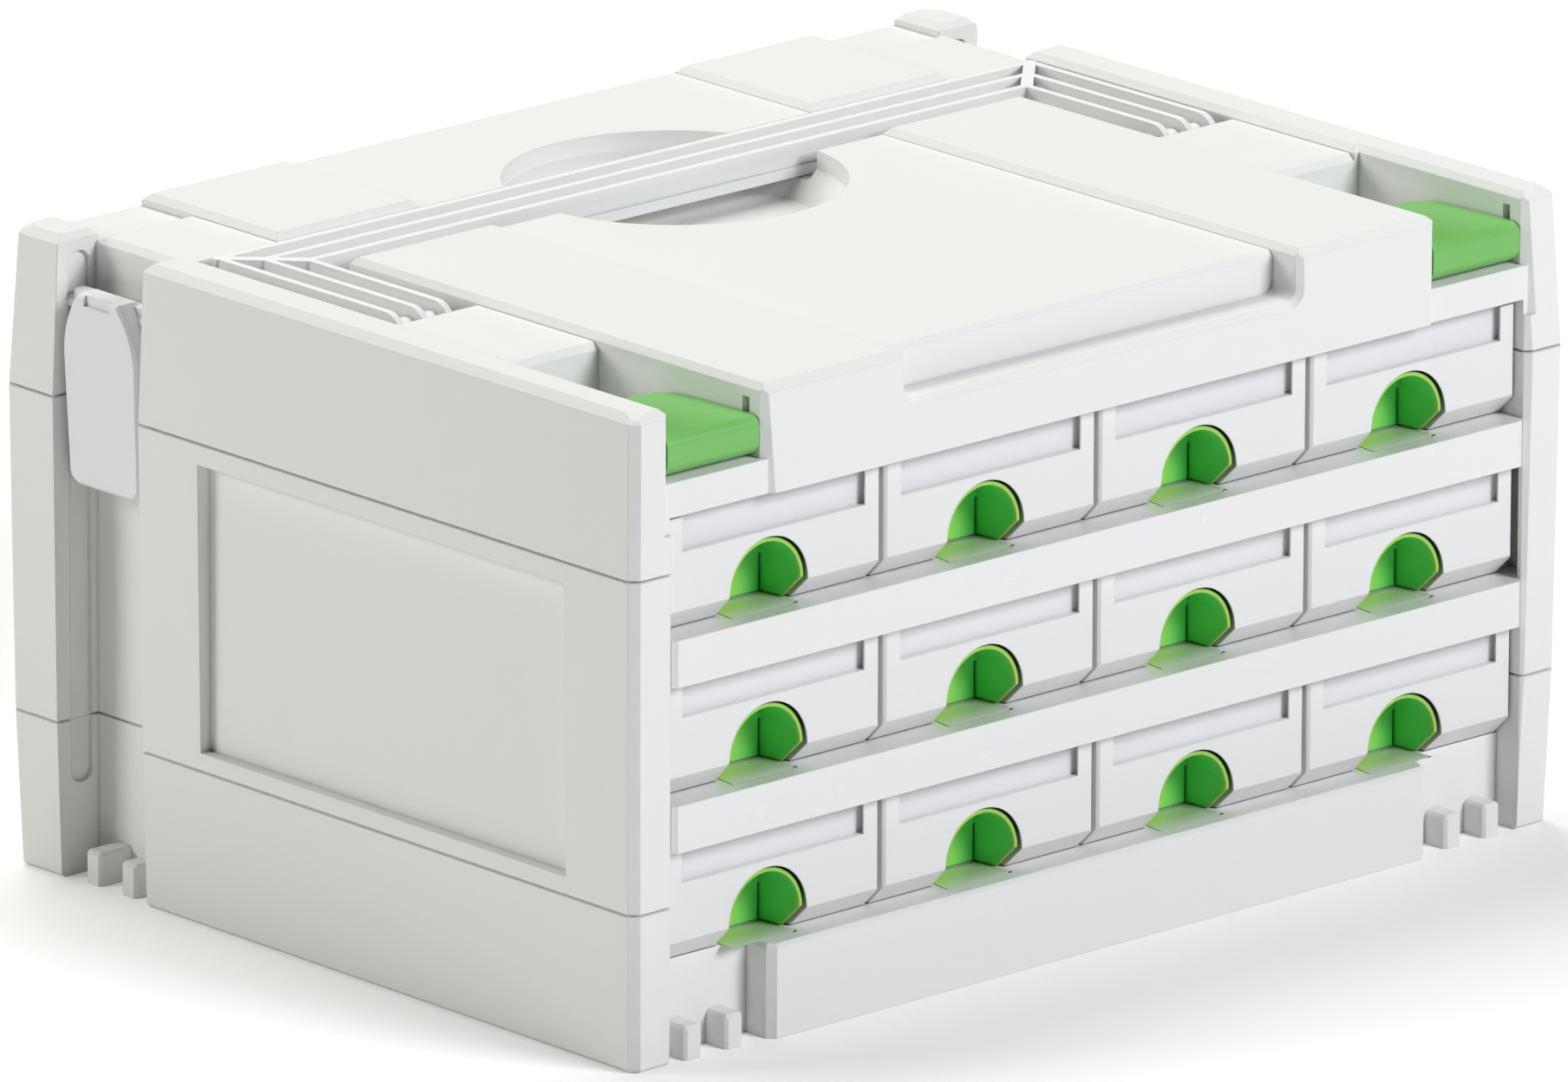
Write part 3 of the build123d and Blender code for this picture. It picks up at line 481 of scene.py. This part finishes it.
green_cup_plastic = moulded_plastic(
    "green_cup_plastic",
    tone=(0.09, 0.70, 0.13),
    second_tone=(0.11, 0.73, 0.14),
    painted_edge_tone=(0.20, 0.72, 0.12),
    rough=0.36,
    spread=0.1,
    grain_scale=2000.0,
    bump=0.12,
    edge_radius=0.0008,
    specular=0.5,
    painted_corner_shade=0.95,
)
shelf_plastic = moulded_plastic(
    "shelf_plastic",
    tone=(0.80, 0.81, 0.80),
    second_tone=(0.82, 0.825, 0.815),
    painted_edge_tone=(0.85, 0.855, 0.85),
    rough=0.26,
    spread=0.08,
    grain_scale=1800.0,
    bump=0.12,
    edge_radius=0.0005,
    specular=0.6,
    painted_corner_shade=0.3,
)
print("seven plastics")

# %% [markdown]
# ## The label cards
# Each drawer has a slot with a blank card. Paper is a little cooler than the plastic and has no gloss, and its
# fibres make a fine mottle. The same recipe serves, with a coarser grain and almost no relief.

# %% Card stock
card_stock = moulded_plastic(
    "card_stock",
    tone=(0.725, 0.735, 0.74),
    second_tone=(0.755, 0.765, 0.77),
    painted_edge_tone=(0.82, 0.83, 0.835),
    rough=0.8,
    spread=0.1,
    grain_scale=900.0,
    bump=0.1,
    edge_radius=0.0001,
    specular=0.2,
    painted_corner_shade=0.2,
)
print("card stock ready")

# %% [markdown]
# ## Finding a point on its drawer
# Twelve drawers share one finish, and some tones belong to one place on each: the dark slit round a cup, the line
# under a drawer, the yellower mouth of a cup. Painting twelve objects one by one would be long. The drawers stand
# in a regular grid, so wrapping the coordinates by the grid's steps gives every point its place on its own drawer.

# %% Drawer place group
first_low, first_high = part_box("drawer_r3_c1")
COLUMN_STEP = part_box("drawer_r3_c2")[0][0] - first_low[0]
ROW_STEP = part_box("drawer_r2_c1")[0][2] - first_low[2]
CUP_OFFSET = -0.0021
CUP_MIDDLE = (first_low[0] + first_high[0]) / 2 + CUP_OFFSET
DRAWER_FACE = first_low[1]
DRAWER_FOOT = first_low[2]
FOOT_CUT = 0.0075
FOOT_MARGIN = 0.002


def wrap(tree, value, high, low):
    """Math node that folds a value into the range from low to high."""
    node = tree.nodes.new("ShaderNodeMath")
    node.operation = "WRAP"
    link(tree, value, node.inputs[0])
    node.inputs[1].default_value = high
    node.inputs[2].default_value = low
    return node.outputs[0]


drawer_place, entry, leave = new_group(
    "drawer_place",
    [("Vector", "NodeSocketVector", None)],
    [(label, "NodeSocketFloat") for label in ("Across", "Above", "Behind", "Inset")],
)
split = drawer_place.nodes.new("ShaderNodeSeparateXYZ")
link(drawer_place, entry.outputs["Vector"], split.inputs[0])
across = combine(drawer_place, "SUBTRACT", split.outputs["X"], CUP_MIDDLE)
across = wrap(drawer_place, across, COLUMN_STEP / 2, -COLUMN_STEP / 2)
above = combine(drawer_place, "SUBTRACT", split.outputs["Z"], DRAWER_FOOT)
above = wrap(drawer_place, above, ROW_STEP - FOOT_MARGIN, -FOOT_MARGIN)
behind = combine(drawer_place, "SUBTRACT", split.outputs["Y"], DRAWER_FACE)
cut_back = combine(drawer_place, "MAXIMUM", combine(drawer_place, "SUBTRACT", FOOT_CUT, above), 0.0)
link(drawer_place, across, leave.inputs["Across"])
link(drawer_place, above, leave.inputs["Above"])
link(drawer_place, behind, leave.inputs["Behind"])
link(drawer_place, combine(drawer_place, "SUBTRACT", behind, cut_back), leave.inputs["Inset"])
print("drawer grid steps in mm:", round(1000 * COLUMN_STEP, 1), round(1000 * ROW_STEP, 1))

# %% [markdown]
# The cup sits in an arched hole that is a little larger, and almost no light gets into the slit between them, so
# the wall of the hole is given the tone of that shadow. The foot of a drawer gets a hairline of it too. The cup's
# mouth and its left side, where the light falls, are painted yellower: a painted highlight.

# %% Tones round the cups
HOLE_RADIUS = 0.0165
ARCH_HEIGHT = 0.0078
SLIT_DEPTH = (0.0001, 0.0006)
SLIT_RISE = (-0.004, 0.014)
SLIT_TONE = (0.03, 0.032, 0.03)
FOOT_LINE_DEPTH = 0.002
FOOT_LINE_HEIGHT = (0.0006, 0.0003)
FOOT_LINE_TONE = (0.06, 0.062, 0.06)
CUP_LIT_RUN = (0.011, -0.002)
CUP_LIT_SHARE = 0.85
CUP_LIT_TONE = (0.40, 0.74, 0.12)
CUP_RIM_DEPTH = (0.0028, 0.0022)
CUP_RIM_HIGHLIGHT = (0.34, 0.66, 0.10)


def place_in(material):
    """Drawer place group in a material, reading the object's own coordinates."""
    tree = material.node_tree
    found = tree.nodes.new("ShaderNodeGroup")
    found.node_tree = drawer_place
    link(tree, tree.nodes.new("ShaderNodeTexCoord").outputs["Object"], found.inputs["Vector"])
    return tree, found.outputs


tree, spot = place_in(drawer_plastic)
rise = combine(tree, "MAXIMUM", combine(tree, "SUBTRACT", spot["Above"], ARCH_HEIGHT), 0.0)
spread = combine(tree, "MULTIPLY", spot["Across"], spot["Across"])
radius = combine(tree, "SQRT", combine(tree, "ADD", spread, combine(tree, "MULTIPLY", rise, rise)), 0.0)
in_hole = combine(tree, "LESS_THAN", radius, HOLE_RADIUS)
in_slit = combine(tree, "MULTIPLY", in_hole, ramp(tree, spot["Inset"], *SLIT_DEPTH))
in_slit = combine(tree, "MULTIPLY", in_slit, ramp(tree, spot["Above"], *SLIT_RISE))
blend_tone(drawer_plastic, in_slit, SLIT_TONE)
at_front = combine(tree, "LESS_THAN", spot["Inset"], FOOT_LINE_DEPTH)
at_foot = combine(tree, "MULTIPLY", ramp(tree, spot["Above"], *FOOT_LINE_HEIGHT), at_front)
blend_tone(drawer_plastic, at_foot, FOOT_LINE_TONE)

tree, spot = place_in(green_cup_plastic)
lit_side = combine(tree, "MULTIPLY", ramp(tree, spot["Across"], *CUP_LIT_RUN), CUP_LIT_SHARE)
# Left side of the cup, where light falls: painted highlight.
blend_tone(green_cup_plastic, lit_side, CUP_LIT_TONE)
# Mouth of the cup, whose rim catches the light: painted highlight.
blend_tone(green_cup_plastic, ramp(tree, spot["Inset"], *CUP_RIM_DEPTH), CUP_RIM_HIGHLIGHT)
print("slit, foot line and cup tones set")

# %% [markdown]
# ## The ribs of the handle
# The bar of the handle carries three low ribs. Their tops and their front faces are almost equally bright, so at a
# low angle they would melt into one band. The tops get a painted highlight and the front faces down in the grooves
# a painted shade, both following the depth below the top of the handle. The front faces are found by the object's
# own normal.

# %% Rib tones
FRONT_FACING = (-0.4, -0.8)
RIB_FACE_DEPTH = (-0.0005, 0.0032)
RIB_FACE_SHADE = (0.71, 0.72, 0.72)
RIB_TOP_DEPTH = (0.0003, 0.0001)
RIB_TOP_HIGHLIGHT = (0.89, 0.895, 0.885)

handle_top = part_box("carry_handle")[1][2]
tree = handle_plastic.node_tree
place = tree.nodes.new("ShaderNodeTexCoord")
split = tree.nodes.new("ShaderNodeSeparateXYZ")
facing = tree.nodes.new("ShaderNodeSeparateXYZ")
link(tree, place.outputs["Object"], split.inputs[0])
link(tree, place.outputs["Normal"], facing.inputs[0])
depth = combine(tree, "SUBTRACT", float(handle_top), split.outputs["Z"])
front = ramp(tree, facing.outputs["Y"], *FRONT_FACING)
shaded_rib_front = combine(tree, "MULTIPLY", ramp(tree, depth, *RIB_FACE_DEPTH), front)
# Front faces down in the grooves: painted shade.
blend_tone(handle_plastic, shaded_rib_front, RIB_FACE_SHADE)
# Rib tops: painted highlight.
blend_tone(handle_plastic, ramp(tree, depth, *RIB_TOP_DEPTH), RIB_TOP_HIGHLIGHT)
print("handle top at", round(1000 * handle_top, 1), "mm")

# %% [markdown]
# ## Dress the solids
# Every solid keeps its shape and gets the finish of its family. The name of a solid starts with the name of its
# family, so one table from name to finish covers them all.

# %% Give each solid its finish
FINISH_OF = {
    "base": shell_plastic,
    "middle": shell_plastic,
    "top": shell_plastic,
    "floor": shelf_plastic,
    "lower": shelf_plastic,
    "upper": shelf_plastic,
    "drawer": drawer_plastic,
    "pull": green_cup_plastic,
    "label": card_stock,
    "carry": handle_plastic,
    "front": green_latch_plastic,
    "side": grey_latch_plastic,
}
for name, solid in nodes.items():
    finish = FINISH_OF[name.split("_")[0]]
    solid.data.materials.clear()
    solid.data.materials.append(finish)
print("finishes given to", len(nodes), "solids")

# %% [markdown]
# ## The floor of each cup
# A thin tongue closes each cup below, so the shelf under it looks green. Its colour is painted light and shade:
# the shelf in the cup's shadow, tinted by green light from the cup, yellower on the left where light falls and
# fading to the shelf's grey at the mouth. It lies a little above the foot of its drawer, so it rides along and
# never rubs on the shelf. It could be a flat plate, but a lens-shaped section whose thickness runs out to nothing
# at both ends needs no end faces and has no hard edge to catch light.


# %% Cup tongues
TONGUE_FRONT = 0.0016
TONGUE_BACK = 0.0172
TONGUE_HALF_WIDTH = 0.0140
TONGUE_TAPER = 0.0019 / 0.0175
TONGUE_THICKNESS = 0.00015
TONGUE_LIFT = 0.0001
TONGUE_STATIONS = 16
TONGUE_COLUMNS = 12
MERGE_DISTANCE = 1e-7
TONGUE_LEFT_RUN = (0.006, -0.012)
TONGUE_LEFT_LIGHT = (0.50, 0.66, 0.16)
TONGUE_FRONT_RUN = (0.010, 0.003)
TONGUE_FRONT_TONE = (0.75, 0.78, 0.73)


def cup_tongue(middle, face, foot):
    """Thin floor: its half width falls in a straight line from mouth to back, and its thickness is a full
    thickness times (1 - s^6) over the length times (1 - t^6) over the width, s and t from -1 to 1."""
    run = np.linspace(-1, 1, TONGUE_STATIONS)[:, None]
    across = np.linspace(-1, 1, TONGUE_COLUMNS)[None, :]
    depth = np.linspace(TONGUE_FRONT, TONGUE_BACK, TONGUE_STATIONS)[:, None]
    half = TONGUE_HALF_WIDTH - TONGUE_TAPER * depth
    thick = TONGUE_THICKNESS * (1 - run**6) * (1 - across**6)
    x = middle + half * across
    y = face + depth + 0 * across
    low = foot + TONGUE_LIFT + 0 * x
    top = np.stack([x, y, low + thick], axis=-1)
    bottom = np.stack([x, y, low], axis=-1)[:, -2:0:-1]
    return np.concatenate([top, bottom], axis=1)


# Grey-green painted light and shade for the shelf under the cup.
tongue_painted_bounce = moulded_plastic(
    "tongue_painted_bounce",
    tone=(0.46, 0.54, 0.38),
    second_tone=(0.48, 0.56, 0.40),
    painted_edge_tone=(0.6, 0.68, 0.5),
    rough=0.3,
    spread=0.08,
    grain_scale=2000.0,
    bump=0.05,
    edge_radius=0.0001,
    specular=0.5,
    painted_corner_shade=0.0,
)
tree, spot = place_in(tongue_painted_bounce)
# Yellower on the left, where light falls: painted light. Towards the mouth it fades to the shelf's grey.
blend_tone(tongue_painted_bounce, ramp(tree, spot["Across"], *TONGUE_LEFT_RUN), TONGUE_LEFT_LIGHT)
blend_tone(tongue_painted_bounce, ramp(tree, spot["Behind"], *TONGUE_FRONT_RUN), TONGUE_FRONT_TONE)

for row in (1, 2, 3):
    for column in (1, 2, 3, 4):
        low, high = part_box(f"drawer_r{row}_c{column}")
        grid = cup_tongue((low[0] + high[0]) / 2 + CUP_OFFSET, low[1], low[2])
        mesh = grid_mesh(f"cup_tongue_r{row}_c{column}", grid)
        shape = bmesh.new()
        shape.from_mesh(mesh)
        bmesh.ops.remove_doubles(shape, verts=shape.verts, dist=MERGE_DISTANCE)
        bmesh.ops.recalc_face_normals(shape, faces=shape.faces)
        shape.to_mesh(mesh)
        shape.free()
        mesh.materials.append(tongue_painted_bounce)
        tongue = bpy.data.objects.new(mesh.name, mesh)
        bpy.context.scene.collection.objects.link(tongue)
        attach(tongue, f"drawer_r{row}_c{column}_body")
print("twelve cup tongues with", len(mesh.polygons), "faces each")

# %% [markdown]
# ## The size of the dressed case
# The box round every part that renders, floor left out, is printed in millimetres.

# %% Sizes
low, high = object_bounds()
print("visual size in mm:", [round(1000 * v, 1) for v in high - low])
